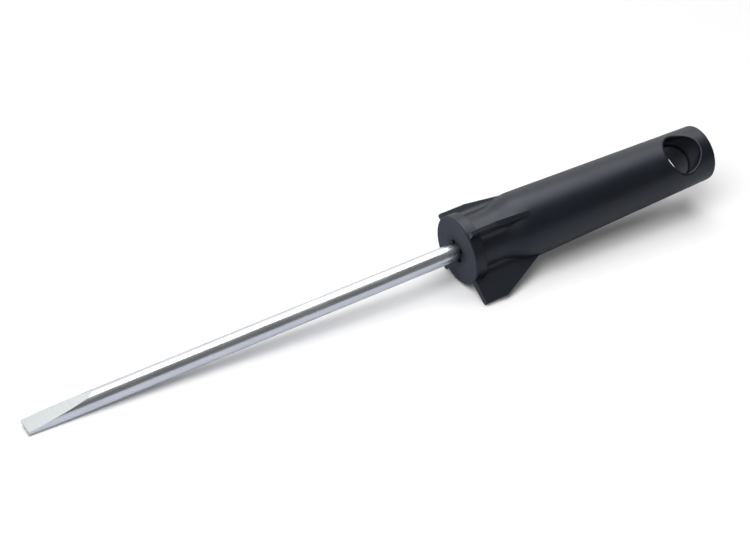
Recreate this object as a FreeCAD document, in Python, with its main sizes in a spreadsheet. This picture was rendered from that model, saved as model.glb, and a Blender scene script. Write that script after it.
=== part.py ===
import FreeCAD, Part
import math
import os

import Sketcher

# A slotted screwdriver: a round steel bar with a ground flat tip, pressed into a one-piece moulded handle.
# Frame: the tool's axis is X, +X towards the tip, with the origin where the blade leaves the handle's
# front face. +Z is up when the tool lies at rest on its two lower fins and its blade.

doc = FreeCAD.newDocument("screwdriver")
sheet = doc.addObject("Spreadsheet::Sheet", "Sizes")

# Driving dimensions, in millimetres and degrees. Places along the handle count from its front face.
SIZES = [
    ("blade_diameter", 8.0),
    ("blade_reach", 200.0),
    ("tip_thickness", 1.2),
    ("tip_grind_length", 29.0),
    ("tip_turn", 7.0),
    ("tang_length", 70.0),
    ("tang_chamfer", 1.0),
    ("ear_start", 8.0),
    ("ear_length", 22.0),
    ("ear_reach", 5.1),
    ("ear_thickness", 2.4),
    ("ear_turn", 24.0),
    ("ear_clearance", 0.1),
    ("handle_length", 131.3),
    ("collar_diameter", 31.6),
    ("collar_length", 5.6),
    ("collar_front_chamfer", 0.5),
    ("collar_rear_chamfer", 0.3),
    ("neck_diameter", 25.5),
    ("neck_end", 18.5),
    ("grip_start", 29.0),
    ("neck_end_rounding", 15.0),
    ("grip_start_rounding", 25.0),
    ("grip_front_diameter", 31.5),
    ("grip_rear_diameter", 25.9),
    ("rear_rounding", 1.2),
    ("fin_turn", 37.0),
    ("fin_setback", 0.6),
    ("fin_draft", 2.5),
    ("fin_hidden_end", 38.0),
    ("fin_rounding", 0.4),
    ("fin_fillet", 3.5),
    ("long_fin_reach", 26.4),
    ("long_fin_thickness", 3.0),
    ("long_fin_edge", 12.3),
    ("long_fin_end", 34.1),
    ("side_fin_reach", 19.9),
    ("side_fin_thickness", 2.3),
    ("side_fin_edge", 13.2),
    ("side_fin_end", 31.5),
    ("short_fin_reach", 17.9),
    ("short_fin_thickness", 2.3),
    ("short_fin_edge", 13.7),
    ("short_fin_end", 30.0),
    ("hole_from_end", 15.3),
    ("hole_wide_diameter", 17.4),
    ("hole_wide_lip", 1.0),
    ("hole_narrow_diameter", 16.2),
    ("hole_narrow_lip", 1.3),
    ("socket_end_gap", 0.5),
]
for row, (name, value) in enumerate(SIZES, start=1):
    sheet.set("A%d" % row, name)
    sheet.set("B%d" % row, str(value))
    sheet.setAlias("B%d" % row, name)
doc.recompute()


def size(name):
    """A driving dimension's value, for looking up the edges that lie at it."""
    return float(getattr(sheet, name))


# ---------------------------------------------------------------- ways of working

def new_body(label):
    body = doc.addObject("PartDesign::Body", label)
    body.Label = label
    return body


def new_sketch(body, label, role, turn=None, back=None):
    """A sketch on one of the body's own origin planes. An expression may turn it about the tool's axis,
    and another may set a crosswise sketch that far back from the handle's front face."""
    sketch = body.newObject("Sketcher::SketchObject", label)
    plane = [item for item in body.Origin.OriginFeatures if item.Role == role][0]
    sketch.AttachmentSupport = [(plane, "")]
    sketch.MapMode = "FlatFace"
    if turn:
        spin = FreeCAD.Vector(0, 0, 1) if role == "YZ_Plane" else FreeCAD.Vector(1, 0, 0)
        sketch.AttachmentOffset = FreeCAD.Placement(FreeCAD.Vector(), FreeCAD.Rotation(spin, 1.0))
        sketch.setExpression(".AttachmentOffset.Rotation.Angle", "-(%s)" % turn)
    if back:
        sketch.setExpression(".AttachmentOffset.Base.z", "-(%s)" % back)
    return sketch


def bind(sketch, kind, geometry, point, expression):
    """One dimension of a sketch point from the origin, held by an expression."""
    number = sketch.addConstraint(Sketcher.Constraint(kind, geometry, point, 1.0))
    sketch.setExpression("Constraints[%d]" % number, expression)


def polygon(sketch, corners):
    """A closed outline of straight lines. Each corner is a pair of expressions, across and up."""
    count = len(corners)
    rough = [FreeCAD.Vector(50 * math.cos(2 * math.pi * index / count),
                            50 * math.sin(2 * math.pi * index / count), 0) for index in range(count)]
    first = sketch.GeometryCount
    for index in range(count):
        sketch.addGeometry(Part.LineSegment(rough[index], rough[(index + 1) % count]), False)
    for index in range(count):
        after = first + (index + 1) % count
        sketch.addConstraint(Sketcher.Constraint("Coincident", first + index, 2, after, 1))
    for index, (across, up) in enumerate(corners):
        bind(sketch, "DistanceX", first + index, 1, across)
        bind(sketch, "DistanceY", first + index, 1, up)


def circle(sketch, across, radius):
    """A circle on the sketch's first axis, at an expression across it."""
    ring = sketch.addGeometry(Part.Circle(FreeCAD.Vector(1, 0, 0), FreeCAD.Vector(0, 0, 1), 2.0), False)
    bind(sketch, "DistanceX", ring, 3, across)
    bind(sketch, "DistanceY", ring, 3, "0")
    number = sketch.addConstraint(Sketcher.Constraint("Radius", ring, 2.0))
    sketch.setExpression("Constraints[%d]" % number, radius)


def add_feature(body, kind, label, sketch):
    feature = body.newObject("PartDesign::" + kind, label)
    feature.Profile = sketch
    return feature


def repeat_about_axis(body, label, original, axis, whole_angle):
    """The same feature twice, spread over the whole angle about an axis of its sketch."""
    pattern = body.newObject("PartDesign::PolarPattern", label)
    pattern.Originals = [original]
    pattern.Axis = axis
    pattern.Angle = whole_angle
    pattern.Occurrences = 2
    body.Tip = pattern
    return pattern


def round_edges(body, label, choose, radius):
    """A fillet, of an expression's radius, on the edges of the body that the choose function picks."""
    doc.recompute()
    base = body.Tip
    picked = ["Edge%d" % number for number, edge in enumerate(base.Shape.Edges, start=1) if choose(edge)]
    if not picked:
        raise RuntimeError("no edge found for " + label)
    fillet = body.newObject("PartDesign::Fillet", label)
    fillet.Base = (base, picked)
    fillet.setExpression("Radius", radius)
    doc.recompute()
    return fillet


def ring_at(place, diameter):
    """Picks the circular edge of this diameter that lies this far behind the handle's front face."""
    def choose(edge):
        curve = edge.Curve
        if not isinstance(curve, Part.Circle) or abs(abs(curve.Axis.x) - 1) > 1e-6:
            return False
        return abs(curve.Center.x + place) < 0.01 and abs(2 * curve.Radius - diameter) < 0.01
    return choose


# ---------------------------------------------------------------- blade
# One bar of 8 mm round steel. The tip is ground on two sides to a straight-sided wedge that ends in the
# flat which enters the screw. The rear is a tang with two pairs of swaged ears that key it in the handle.

blade = new_body("blade")

outline = new_sketch(blade, "BarOutline", "XZ_Plane")
polygon(outline, [
    ("-Sizes.tang_length", "0"),
    ("Sizes.blade_reach", "0"),
    ("Sizes.blade_reach", "Sizes.blade_diameter / 2"),
    ("-Sizes.tang_length + Sizes.tang_chamfer", "Sizes.blade_diameter / 2"),
    ("-Sizes.tang_length", "Sizes.blade_diameter / 2 - Sizes.tang_chamfer"),
])
bar = add_feature(blade, "Revolution", "Bar", outline)
bar.ReferenceAxis = (outline, ["H_Axis"])
bar.Angle = 360

ear_section = new_sketch(blade, "EarSection", "YZ_Plane", turn="Sizes.fin_turn + Sizes.ear_turn",
                         back="Sizes.ear_start")
polygon(ear_section, [
    ("-Sizes.ear_thickness / 2", "-Sizes.ear_reach"),
    ("Sizes.ear_thickness / 2", "-Sizes.ear_reach"),
    ("Sizes.ear_thickness / 2", "Sizes.ear_reach"),
    ("-Sizes.ear_thickness / 2", "Sizes.ear_reach"),
])
ears = add_feature(blade, "Pad", "Ears", ear_section)
ears.setExpression("Length", "Sizes.ear_length")
ears.Reversed = True
repeat_about_axis(blade, "CrossedEars", ears, (ear_section, ["N_Axis"]), 90)

grind = new_sketch(blade, "TipGrind", "XZ_Plane", turn="Sizes.tip_turn")
polygon(grind, [
    ("Sizes.blade_reach - Sizes.tip_grind_length", "Sizes.blade_diameter / 2"),
    ("Sizes.blade_reach", "Sizes.tip_thickness / 2"),
    ("Sizes.blade_reach + Sizes.tip_thickness", "Sizes.tip_thickness / 2"),
    ("Sizes.blade_reach + Sizes.tip_thickness", "Sizes.blade_diameter"),
    ("Sizes.blade_reach - Sizes.tip_grind_length", "Sizes.blade_diameter"),
])
flat = add_feature(blade, "Pocket", "TipFlat", grind)
flat.Midplane = True
flat.setExpression("Length", "2 * Sizes.blade_diameter")
repeat_about_axis(blade, "BothTipFlats", flat, (grind, ["H_Axis"]), 360)

# ---------------------------------------------------------------- handle
# One moulding in black plastic. The revolved body is a collar, a slimmer neck, a cone up to the grip and
# a slow taper to the rear. Four fins stand at right angles round its front: a long one, the two beside it
# and a short one opposite. The mould parts in the plane of the long and the short fin, so the fins' flanks
# have draft, and the cross hole is cored from both sides, wide from one and narrow from the other.

handle = new_body("handle")

outline = new_sketch(handle, "HandleOutline", "XZ_Plane", turn="Sizes.fin_turn + 90")
polygon(outline, [
    ("0", "0"),
    ("0", "Sizes.collar_diameter / 2 - Sizes.collar_front_chamfer"),
    ("-Sizes.collar_front_chamfer", "Sizes.collar_diameter / 2"),
    ("-Sizes.collar_length + Sizes.collar_rear_chamfer", "Sizes.collar_diameter / 2"),
    ("-Sizes.collar_length", "Sizes.collar_diameter / 2 - Sizes.collar_rear_chamfer"),
    ("-Sizes.collar_length", "Sizes.neck_diameter / 2"),
    ("-Sizes.neck_end", "Sizes.neck_diameter / 2"),
    ("-Sizes.grip_start", "Sizes.grip_front_diameter / 2"),
    ("-Sizes.handle_length", "Sizes.grip_rear_diameter / 2"),
    ("-Sizes.handle_length", "0"),
])
turned = add_feature(handle, "Revolution", "HandleBody", outline)
turned.ReferenceAxis = (outline, ["H_Axis"])
turned.Angle = 360

ROUNDED_RINGS = [
    ("NeckEnd", "neck_end", "neck_diameter", "neck_end_rounding"),
    ("GripStart", "grip_start", "grip_front_diameter", "grip_start_rounding"),
    ("RearEdge", "handle_length", "grip_rear_diameter", "rear_rounding"),
]
for label, place, diameter, radius in ROUNDED_RINGS:
    round_edges(handle, label, ring_at(size(place), size(diameter)), "Sizes." + radius)

# The fins are drawn as a body of their own, a core as thick as the neck with four drafted arms, so that
# their roots and edges can be rounded along whole straight edges before they join the revolved body.
fins = new_body("fins")
core_section = new_sketch(fins, "CoreSection", "YZ_Plane", back="Sizes.fin_setback")
circle(core_section, "0", "Sizes.neck_diameter / 2")
core = add_feature(fins, "Pad", "Core", core_section)
core.setExpression("Length", "Sizes.fin_hidden_end - Sizes.fin_setback")
core.Reversed = True

FINS = [
    ("Side", "side", 0),
    ("Long", "long", 90),
    ("FarSide", "side", 180),
    ("Short", "short", 270),
]
for label, kind, quarter in FINS:
    half_edge = "Sizes.%s_fin_thickness / 2" % kind
    reach = "Sizes.%s_fin_reach" % kind
    half_root = "(%s + %s * tan(Sizes.fin_draft))" % (half_edge, reach)
    section = new_sketch(fins, label + "FinSection", "YZ_Plane", turn="Sizes.fin_turn + %d" % quarter,
                         back="Sizes.fin_setback")
    polygon(section, [
        ("-" + half_root, "0"),
        (half_root, "0"),
        (half_edge, reach),
        ("-" + half_edge, reach),
    ])
    fin = add_feature(fins, "Pad", label + "Fin", section)
    fin.setExpression("Length", "Sizes.fin_hidden_end - Sizes.fin_setback")
    fin.Reversed = True


def fin_root(edge):
    """Picks the straight edges where a fin's flank leaves the core."""
    ends = [math.hypot(vertex.Y, vertex.Z) for vertex in edge.Vertexes]
    along = abs(edge.tangentAt(edge.FirstParameter).x) > 0.99
    return along and all(abs(end - size("neck_diameter") / 2) < 0.01 for end in ends)


round_edges(fins, "FinRoots", fin_root, "Sizes.fin_fillet")

for label, kind, quarter in FINS:
    # Behind its outer edge a fin slopes in a straight line to where it would meet the grip, and runs on
    # at the same slope inside the grip.
    edge = "Sizes.%s_fin_edge" % kind
    reach = "Sizes.%s_fin_reach" % kind
    slope = "(%s - Sizes.grip_front_diameter / 2) / (Sizes.%s_fin_end - %s)" % (reach, kind, edge)
    side = new_sketch(fins, label + "FinSlope", "XZ_Plane", turn="Sizes.fin_turn + %d" % quarter)
    polygon(side, [
        ("-" + edge, reach),
        ("-Sizes.fin_hidden_end", "%s - %s * (Sizes.fin_hidden_end - %s)" % (reach, slope, edge)),
        ("-Sizes.fin_hidden_end", "%s + Sizes.fin_rounding" % reach),
        ("-" + edge, "%s + Sizes.fin_rounding" % reach),
    ])
    cut = add_feature(fins, "Pocket", label + "FinRear", side)
    cut.Midplane = True
    cut.setExpression("Length", "Sizes.neck_diameter")


def fin_rim(edge):
    """Picks the sharp edges round a fin's outer flat and down both sides of its sloping rear."""
    reaches = [math.hypot(vertex.Y, vertex.Z) for vertex in edge.Vertexes]
    on_fin = len(reaches) == 2 and max(reaches) > size("collar_diameter") / 2 + size("fin_rounding")
    at_front = all(abs(vertex.X + size("fin_setback")) < 0.01 for vertex in edge.Vertexes)
    return on_fin and not at_front


round_edges(fins, "FinEdges", fin_rim, "Sizes.fin_rounding")

joined = handle.newObject("PartDesign::Boolean", "FinsJoined")
joined.Type = "Fuse"
joined.setObjects([fins])
handle.Tip = joined
doc.recompute()

def hole_rim(diameter):
    """Picks the edges where the cross hole's half of this diameter comes out through the grip's surface."""
    turn = math.radians(size("fin_turn"))
    hole_axis = FreeCAD.Vector(0, math.sin(turn), math.cos(turn))
    middle = FreeCAD.Vector(size("hole_from_end") - size("handle_length"), 0, 0)

    def choose(edge):
        places = [edge.valueAt(edge.getParameterByLength(edge.Length * share)) - middle
                  for share in (0, 0.4, 0.8)]
        on_wall = all(abs(place.cross(hole_axis).Length - diameter / 2) < 0.01 for place in places)
        return on_wall and min(abs(place.dot(hole_axis)) for place in places) > 0.01
    return choose


for side, reversed_cut in (("wide", True), ("narrow", False)):
    section = new_sketch(handle, "Hole%sCircle" % side.title(), "XY_Plane", turn="Sizes.fin_turn")
    circle(section, "-(Sizes.handle_length - Sizes.hole_from_end)", "Sizes.hole_%s_diameter / 2" % side)
    half = add_feature(handle, "Pocket", "Hole%sHalf" % side.title(), section)
    half.setExpression("Length", "Sizes.grip_rear_diameter")
    half.Reversed = reversed_cut
for side in ("wide", "narrow"):
    round_edges(handle, "Hole%sLip" % side.title(), hole_rim(size("hole_%s_diameter" % side)),
                "Sizes.hole_%s_lip" % side)

section = new_sketch(handle, "SocketCircle", "YZ_Plane")
circle(section, "0", "Sizes.blade_diameter / 2")
socket = add_feature(handle, "Pocket", "Socket", section)
socket.setExpression("Length", "Sizes.tang_length + Sizes.socket_end_gap")

section = new_sketch(handle, "SlotSection", "YZ_Plane", turn="Sizes.fin_turn + Sizes.ear_turn")
half_slot = "(Sizes.ear_thickness / 2 + Sizes.ear_clearance)"
slot_reach = "(Sizes.ear_reach + Sizes.ear_clearance)"
polygon(section, [
    ("-" + half_slot, "-" + slot_reach),
    (half_slot, "-" + slot_reach),
    (half_slot, slot_reach),
    ("-" + half_slot, slot_reach),
])
slots = add_feature(handle, "Pocket", "EarSlots", section)
slots.setExpression("Length", "Sizes.ear_start + Sizes.ear_length + Sizes.ear_clearance")
repeat_about_axis(handle, "CrossedEarSlots", slots, (section, ["N_Axis"]), 90)

# ---------------------------------------------------------------- checks and files

doc.recompute()
for item in doc.Objects:
    if "Invalid" in item.State or "Error" in item.State:
        raise RuntimeError("%s failed: %s" % (item.Label, item.State))

PIECES = [blade, handle]
for piece in PIECES:
    shape = piece.Shape
    if shape.isNull() or not shape.isValid() or len(shape.Solids) != 1:
        raise RuntimeError(piece.Label + " is not one valid solid")

os.makedirs("parts", exist_ok=True)
for piece in PIECES:
    piece.Shape.exportStep("parts/%s.step" % piece.Label)
    print(piece.Label, round(piece.Shape.Volume, 1), piece.Shape.BoundBox)
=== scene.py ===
import math

import bpy
import numpy as np
from mathutils import Matrix, Vector


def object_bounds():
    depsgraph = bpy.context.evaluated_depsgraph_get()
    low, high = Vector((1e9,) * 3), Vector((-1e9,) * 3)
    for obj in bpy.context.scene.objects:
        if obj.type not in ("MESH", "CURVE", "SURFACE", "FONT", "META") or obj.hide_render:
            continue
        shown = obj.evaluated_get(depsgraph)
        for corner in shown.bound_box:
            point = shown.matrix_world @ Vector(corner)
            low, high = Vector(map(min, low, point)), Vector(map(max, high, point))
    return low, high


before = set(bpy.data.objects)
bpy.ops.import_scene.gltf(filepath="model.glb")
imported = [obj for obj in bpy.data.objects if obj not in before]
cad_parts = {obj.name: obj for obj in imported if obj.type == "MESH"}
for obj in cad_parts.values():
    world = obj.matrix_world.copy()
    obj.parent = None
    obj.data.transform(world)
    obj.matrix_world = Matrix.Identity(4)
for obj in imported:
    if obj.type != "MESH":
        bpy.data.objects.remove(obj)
cad_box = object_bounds()

# ------------------------------------------------------------------ blade
# The blade is one bar of round tool steel, drawn straight and bright zinc plated. Its tip is ground on
# two sides after plating, so the two flats are bare, pale and matte, with fine marks across the blade.
# Its tang is pressed into the handle, and over the last few millimetres before the handle the plate is
# darkened as a painted reflection of the handle's dark front face.

PLATE_COLOURS = ((0.70, 0.73, 0.78, 1.0), (0.96, 0.98, 1.0, 1.0))
PLATE_ROUGHNESS = (0.17, 0.33)
PLATE_CLOUD = (45.0, 160.0, 160.0)  # here and in each pattern below: repeats a metre along X, Y and Z
DRAWN_LINES = (30.0, 2400.0, 2400.0)
DRAWN_RELIEF = (0.00002, 0.15)  # here and in each relief below: depth in metres, and strength
GROUND_COLOURS = ((0.34, 0.36, 0.36, 1.0), (0.60, 0.625, 0.63, 1.0))
GROUND_ROUGHNESS = (0.42, 0.60)
GROUND_LEAN = 0.03  # a ground face's normal leans towards the tip by more than this, the bar's doesn't
GRIND_MARKS = (4200.0, 90.0, 90.0)
GRIND_DETAIL = 5.0
GRIND_RELIEF = (0.00004, 0.5)
# Painted reflection: the plate's colour turns dark next to the handle, where it would mirror the handle's
# black face.
PAINTED_REFLECTION_COLOUR = (0.10, 0.11, 0.13, 1.0)
PAINTED_REFLECTION_FROM, PAINTED_REFLECTION_TO = 0.0045, 0.0005  # the painted reflection of the handle's face fades in from here to here, counted from the handle
PAINTED_REFLECTION_SHARE = 0.75


def feed(tree, socket, value):
    """Links an input to the socket that gives its value, or sets it to a plain value."""
    if isinstance(value, bpy.types.NodeSocket):
        tree.links.new(value, socket)
    else:
        socket.default_value = value


def fill(tree, node, inputs):
    """Feeds each of a node's inputs that is named or numbered in inputs."""
    for name, value in inputs.items():
        feed(tree, node.inputs[name], value)


def add_node(tree, kind, inputs=None, **settings):
    """Adds a node, makes its own settings, and fills its inputs."""
    node = tree.nodes.new(kind)
    for name, value in settings.items():
        setattr(node, name, value)
    fill(tree, node, inputs or {})
    return node


def arithmetic(tree, operation, first, second=0.0, third=0.0):
    """One step of arithmetic on numbers or sockets, as a socket."""
    return add_node(tree, "ShaderNodeMath", {0: first, 1: second, 2: third}, operation=operation).outputs[0]


def coordinate(tree, vector, axis):
    """One coordinate of a place or a direction, as a socket."""
    return add_node(tree, "ShaderNodeSeparateXYZ", {0: vector}).outputs[axis]


def between(tree, share, low, high, start=0.0, end=1.0):
    """The number that goes smoothly from low to high as share goes from start to end."""
    limits = {"Value": share, "From Min": start, "From Max": end, "To Min": low, "To Max": high}
    return add_node(tree, "ShaderNodeMapRange", limits, interpolation_type="SMOOTHSTEP").outputs[0]


def tone(tree, share, low, high):
    """The colour that lies a share of the way from low to high."""
    node = add_node(tree, "ShaderNodeMix", {0: share}, data_type="RGBA")
    low_input, high_input = [item for item in node.inputs if item.type == "RGBA"]
    feed(tree, low_input, low)
    feed(tree, high_input, high)
    return [item for item in node.outputs if item.type == "RGBA"][0]


def streaks(tree, place, repeats, detail=3.0):
    """Noise with so many repeats a metre along X, Y and Z, so it is drawn out where they are few."""
    spot = add_node(tree, "ShaderNodeMapping", {"Vector": place, "Scale": repeats})
    inputs = {"Vector": spot.outputs[0], "Scale": 1.0, "Detail": detail}
    return add_node(tree, "ShaderNodeTexNoise", inputs).outputs["Fac"]


def relief(tree, height, depth, strength, under=None):
    """A bump of this height pattern, so many metres deep, laid over another bump."""
    inputs = {"Height": height, "Distance": depth, "Strength": strength}
    if under:
        inputs["Normal"] = under
    return add_node(tree, "ShaderNodeBump", inputs).outputs[0]


def new_material(name):
    """A material with its texture coordinates and its one shader, wired to the output."""
    material = bpy.data.materials.new(name)
    material.use_nodes = True
    tree = material.node_tree
    tree.nodes.clear()
    coordinates = add_node(tree, "ShaderNodeTexCoord").outputs
    shader = add_node(tree, "ShaderNodeBsdfPrincipled")
    add_node(tree, "ShaderNodeOutputMaterial", {"Surface": shader.outputs[0]})
    return material, tree, coordinates, shader


def zinc_plate_and_ground_steel():
    """Plate with lines drawn along the bar, darkened next to the handle as a painted reflection of the
    handle's dark face, and bare steel on the ground faces.
    """
    steel, tree, coordinates, shader = new_material("zinc_plate_and_ground_steel")
    place = coordinates["Object"]

    cloud = streaks(tree, place, PLATE_CLOUD)
    # painted reflection of the handle's dark face, on the plate's last millimetres
    painted_reflection = between(tree, coordinate(tree, place, "X"), 0.0, PAINTED_REFLECTION_SHARE, PAINTED_REFLECTION_FROM, PAINTED_REFLECTION_TO)
    plate_colour = tone(tree, painted_reflection, tone(tree, cloud, *PLATE_COLOURS), PAINTED_REFLECTION_COLOUR)
    plate_roughness = between(tree, cloud, *PLATE_ROUGHNESS)

    marks = streaks(tree, place, GRIND_MARKS, GRIND_DETAIL)
    ground_colour = tone(tree, marks, *GROUND_COLOURS)
    ground_roughness = between(tree, marks, *GROUND_ROUGHNESS)

    ground = arithmetic(tree, "GREATER_THAN", coordinate(tree, coordinates["Normal"], "X"), GROUND_LEAN)
    rougher_by = arithmetic(tree, "SUBTRACT", ground_roughness, plate_roughness)
    drawn = relief(tree, streaks(tree, place, DRAWN_LINES), *DRAWN_RELIEF)
    ground_marks = arithmetic(tree, "MULTIPLY", marks, ground)
    fill(tree, shader, {
        "Base Color": tone(tree, ground, plate_colour, ground_colour),
        "Roughness": arithmetic(tree, "MULTIPLY_ADD", rougher_by, ground, plate_roughness),
        "Normal": relief(tree, ground_marks, *GRIND_RELIEF, under=drawn),
        "Metallic": 1.0,
    })
    return steel


def wear(node, material):
    """Puts a material in every slot of a CAD node's object."""
    for material_slot in node.material_slots:
        material_slot.material = material


wear(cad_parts["blade"], zinc_plate_and_ground_steel())

# ------------------------------------------------------------------ handle
# The handle is one moulding in black plastic, with a fine satin grain from its mould. A hair-thin mould
# line runs round it in the plane of its long and its short fin. The cross hole shines less inside, as
# painted shade in the hollow, and the front face is matte and a little paler, with painted shade round the
# blade.

PLASTIC_COLOURS = ((0.003, 0.0045, 0.008, 1.0), (0.0045, 0.006, 0.011, 1.0))
PLASTIC_ROUGHNESS = (0.35, 0.45)
PLASTIC_SHINE = 0.60
PLASTIC_IOR = 1.49
PLASTIC_TINT = (0.83, 0.88, 1.0, 1.0)
TOUCH = (38.0, 60.0, 60.0)
TOUCH_DETAIL = 4.0
GRAIN = (2200.0, 2200.0, 2200.0)
GRAIN_RELIEF = (0.00006, 0.60)
FLOW = (14.0, 420.0, 420.0)
FLOW_DETAIL = 2.0
FLOW_RELIEF = (0.00006, 0.10)
FIN_TURN = math.radians(37.0)  # the nearer side fin's turn from +Z towards +Y
MOULD_LINE_WIDTH = 0.00012
MOULD_LINE_RELIEF = (0.00006, 0.6)
HOLE_FROM_END = 0.0153  # the cross hole's axis, counted from the handle's rear end
HOLE_FROM, HOLE_TO = 0.0087, 0.0100  # the hole's wall and the outside of its rim, from its axis
# Painted shade: the cross hole's wall gets less shine, so that the hollow looks darker.
HOLE_PAINTED_SHADE_SHINE = 0.30
FRONT_FACE = -0.0002  # the front face lies beyond this place on X
FACE_COLOUR = (0.033, 0.037, 0.051, 1.0)
FACE_ROUGHNESS = 0.75
# Painted shade: round the blade's exit the front face keeps the dark plastic colour, with a ragged edge.
PAINTED_SHADE_FROM, PAINTED_SHADE_TO = 0.0050, 0.0105  # the painted shade round the blade ends between these distances from the axis
PAINTED_SHADE_NOISE = (420.0, 420.0, 420.0)
PAINTED_SHADE_DETAIL = 4.0
PAINTED_SHADE_RAGGED = 0.0030


def vector_arithmetic(tree, operation, first, second=(0.0, 0.0, 0.0)):
    """One step of arithmetic on vectors or sockets, as the node's two outputs, Vector and Value."""
    return add_node(tree, "ShaderNodeVectorMath", {0: first, 1: second}, operation=operation).outputs


def from_axis(tree, place, point, direction):
    """How far a place is from the line through a point in a direction of length 1."""
    offset = vector_arithmetic(tree, "SUBTRACT", place, point)["Vector"]
    across = vector_arithmetic(tree, "CROSS_PRODUCT", offset, direction)["Vector"]
    return vector_arithmetic(tree, "LENGTH", across)["Value"]


def black_satin_moulded_plastic():
    """Satin plastic with its grain and mould line, less shine in the cross hole as painted shade, and a
    matte front face with painted shade round the blade.
    """
    plastic, tree, coordinates, shader = new_material("black_satin_moulded_plastic")
    place = coordinates["Object"]
    touch = streaks(tree, place, TOUCH, TOUCH_DETAIL)
    plastic_colour = tone(tree, touch, *PLASTIC_COLOURS)
    plastic_roughness = between(tree, touch, *PLASTIC_ROUGHNESS)

    front = arithmetic(tree, "GREATER_THAN", coordinate(tree, place, "X"), FRONT_FACE)
    # painted shade round the blade's exit on the front face
    from_blade = from_axis(tree, place, (0.0, 0.0, 0.0), (1.0, 0.0, 0.0))
    painted_shade_ragged = streaks(tree, place, PAINTED_SHADE_NOISE, PAINTED_SHADE_DETAIL)
    painted_shade_edge = arithmetic(tree, "MULTIPLY_ADD", painted_shade_ragged, PAINTED_SHADE_RAGGED, from_blade)
    outside_painted_shade = between(tree, painted_shade_edge, 0.0, 1.0, PAINTED_SHADE_FROM, PAINTED_SHADE_TO)
    face_colour = tone(tree, outside_painted_shade, plastic_colour, FACE_COLOUR)
    face_roughness = arithmetic(tree, "MULTIPLY", front, FACE_ROUGHNESS)

    side_fin = (0.0, math.sin(FIN_TURN), math.cos(FIN_TURN))
    rear_end = cad_box[0][0]
    from_hole = from_axis(tree, place, (rear_end + HOLE_FROM_END, 0.0, 0.0), side_fin)
    from_parting = vector_arithmetic(tree, "DOT_PRODUCT", place, side_fin)["Value"]
    mould_line = arithmetic(tree, "COMPARE", from_parting, 0.0, MOULD_LINE_WIDTH / 2)
    satin = relief(tree, streaks(tree, place, GRAIN), *GRAIN_RELIEF)
    drawn = relief(tree, streaks(tree, place, FLOW, FLOW_DETAIL), *FLOW_RELIEF, under=satin)
    fill(tree, shader, {
        "Base Color": tone(tree, front, plastic_colour, face_colour),
        "Roughness": arithmetic(tree, "MAXIMUM", plastic_roughness, face_roughness),
        "Normal": relief(tree, mould_line, *MOULD_LINE_RELIEF, under=drawn),
        # painted shade: less shine inside the cross hole
        "Specular IOR Level": between(tree, from_hole, HOLE_PAINTED_SHADE_SHINE, PLASTIC_SHINE, HOLE_FROM, HOLE_TO),
        "Specular Tint": PLASTIC_TINT,
        "IOR": PLASTIC_IOR,
    })
    return plastic


wear(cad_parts["handle"], black_satin_moulded_plastic())

# ------------------------------------------------------------------ floor
# A plain white board, a little over-lit as it is seen, which fades into the white room. The tool lies on
# it on the front corners of its two lower fins and on the blade's underside, where the grinding of the
# tip begins, and those three points give its plane.

BOARD_COLOUR = (0.95, 0.95, 0.96, 1.0)
BOARD_MIRRORED = (0.55, 0.57, 0.62, 1.0)  # the board's colour in reflections
BOARD_ROUGHNESS = 0.9
BOARD_SHINE = 0.1
BOARD_LIFT = 0.10  # what is added to the board's own light as it is seen
BOARD_SIZE = 12.0
FADE_FROM, FADE_TO = 0.4, 1.4  # the board fades to plain white between these distances from the origin
WHITE = (1.0, 1.0, 1.0, 1.0)
SETTLING_ROUNDS = 6


def points_of(node):
    """A CAD node's points, as an array of rows."""
    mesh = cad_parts[node].data
    points = np.empty(len(mesh.vertices) * 3, np.float32)
    mesh.vertices.foreach_get("co", points)
    return points.reshape(-1, 3).astype(float)


def resting_plane():
    """The plane under the tool, as a point and its normal: it goes through the lowest point of the handle
    on each side and of the blade, and lowest is measured again along the normal until it settles."""
    handle, blade = points_of("handle"), points_of("blade")
    groups = [handle[handle[:, 1] > 0], handle[handle[:, 1] < 0], blade[blade[:, 0] > 0]]
    normal = np.array([0.0, 0.0, 1.0])
    for _ in range(SETTLING_ROUNDS):
        left, right, front = [group[(group @ normal).argmin()] for group in groups]
        normal = np.cross(front - right, left - right)
        normal *= np.sign(normal[2]) / np.linalg.norm(normal)
    return left, normal


def square_on(contact, up, size):
    """The corners of a square round a point of a plane: its sides run along X and Y, tilted into it."""
    along = np.cross([0.0, 1.0, 0.0], up)
    along /= np.linalg.norm(along)
    across = np.cross(up, along)
    return [contact + size / 2 * (x * along + y * across) for x, y in ((-1, -1), (1, -1), (1, 1), (-1, 1))]


def white_board():
    """White paint that is greyer in reflections, and shines by itself only as it is seen."""
    paint, tree, coordinates, shader = new_material("white_board")
    path = add_node(tree, "ShaderNodeLightPath").outputs
    away = vector_arithmetic(tree, "LENGTH", coordinates["Object"])["Value"]
    lift = between(tree, away, BOARD_LIFT, 1.0, FADE_FROM, FADE_TO)
    fill(tree, shader, {
        "Base Color": tone(tree, path["Is Glossy Ray"], BOARD_COLOUR, BOARD_MIRRORED),
        "Roughness": BOARD_ROUGHNESS,
        "Specular IOR Level": BOARD_SHINE,
        "Emission Color": WHITE,
        "Emission Strength": arithmetic(tree, "MULTIPLY", path["Is Camera Ray"], lift),
    })
    return paint


corners = square_on(*resting_plane(), BOARD_SIZE)
floor_mesh = bpy.data.meshes.new("floor")
floor_mesh.from_pydata([list(corner) for corner in corners], [], [(0, 1, 2, 3)])
floor_mesh.materials.append(white_board())
floor = bpy.data.objects.new("floor", floor_mesh)
bpy.context.scene.collection.objects.link(floor)

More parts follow.
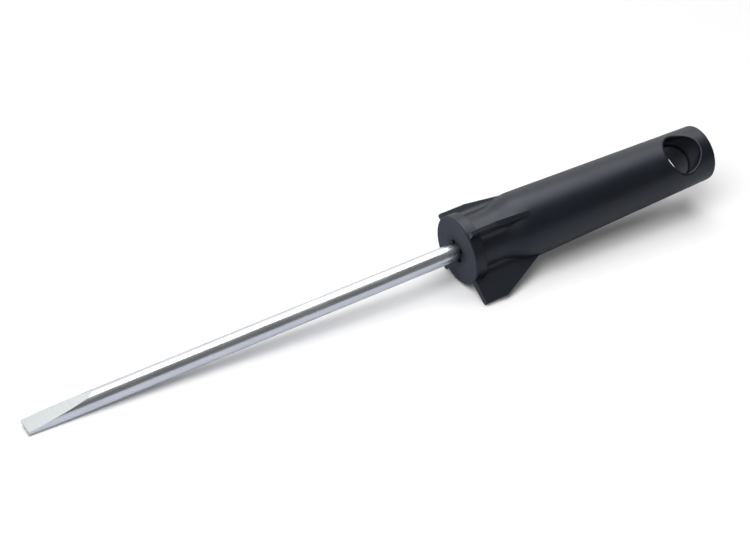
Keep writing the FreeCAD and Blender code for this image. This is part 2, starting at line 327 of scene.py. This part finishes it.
# ------------------------------------------------------------------ light
# Two large soft lamps: one high on the viewer's side and beyond the tip, and one nearly overhead, behind
# the handle. Reflections also show a white wall on the far side of the tool and a dim room elsewhere,
# and that dim room is the dark line along the shaft.

LAMPS = {"viewer_side_lamp": {"place": (0.61, 0.43, 1.30), "size": 1.15, "power": 17.3},
         "overhead_lamp": {"place": (-0.39, -0.36, 1.40), "size": 1.50, "power": 14.2}}
WALL_LIGHT = 0.90
ROOM_LIGHT = 0.14
WALL_FROM, WALL_TO = -0.12, -0.50  # the direction's Y where the dim room ends and where the wall is white

world = bpy.data.worlds.new("room")
bpy.context.scene.world = world
world.use_nodes = True
room_tree = world.node_tree
room_tree.nodes.clear()
direction = add_node(room_tree, "ShaderNodeTexCoord").outputs["Generated"]
wall = between(room_tree, coordinate(room_tree, direction, "Y"), ROOM_LIGHT, WALL_LIGHT, WALL_FROM, WALL_TO)
room_path = add_node(room_tree, "ShaderNodeLightPath").outputs
mirrored = arithmetic(room_tree, "MULTIPLY", room_path["Is Glossy Ray"], wall)
room_strength = arithmetic(room_tree, "ADD", mirrored, room_path["Is Camera Ray"])
room = add_node(room_tree, "ShaderNodeBackground", {"Color": WHITE, "Strength": room_strength})
add_node(room_tree, "ShaderNodeOutputWorld", {"Surface": room.outputs[0]})

for lamp_name, lamp_values in LAMPS.items():
    lamp_data = bpy.data.lights.new(lamp_name, "AREA")
    lamp_data.shape = "DISK"
    lamp_data.size = lamp_values["size"]
    lamp_data.energy = lamp_values["power"]
    lamp = bpy.data.objects.new(lamp_name, lamp_data)
    bpy.context.scene.collection.objects.link(lamp)
    lamp.location = lamp_values["place"]
    lamp.rotation_euler = (-Vector(lamp_values["place"])).to_track_quat("-Z", "Y").to_euler()

# ------------------------------------------------------------------ camera
# A long lens looks down on the tool from the side of its nearer side fin and from beyond the tip.

CAMERA_PLACE = Vector((0.33290, 0.55357, 0.46599))
CAMERA_LOOK = Vector((-0.37558, -0.71122, -0.59422))
CAMERA_ROLL = math.radians(-4.74)
LENS = 88.7
SENSOR_WIDTH = 36.0
NEAREST, FARTHEST = 0.01, 50.0

camera_data = bpy.data.cameras.new("camera")
camera_data.sensor_width = SENSOR_WIDTH
camera_data.lens = LENS
camera_data.clip_start = NEAREST
camera_data.clip_end = FARTHEST
camera = bpy.data.objects.new("camera", camera_data)
bpy.context.scene.collection.objects.link(camera)
turned = CAMERA_LOOK.to_track_quat("-Z", "Y").to_matrix().to_4x4() @ Matrix.Rotation(CAMERA_ROLL, 4, "Z")
camera.matrix_world = Matrix.Translation(CAMERA_PLACE) @ turned
bpy.context.scene.camera = camera
bpy.context.scene.view_settings.view_transform = "Standard"
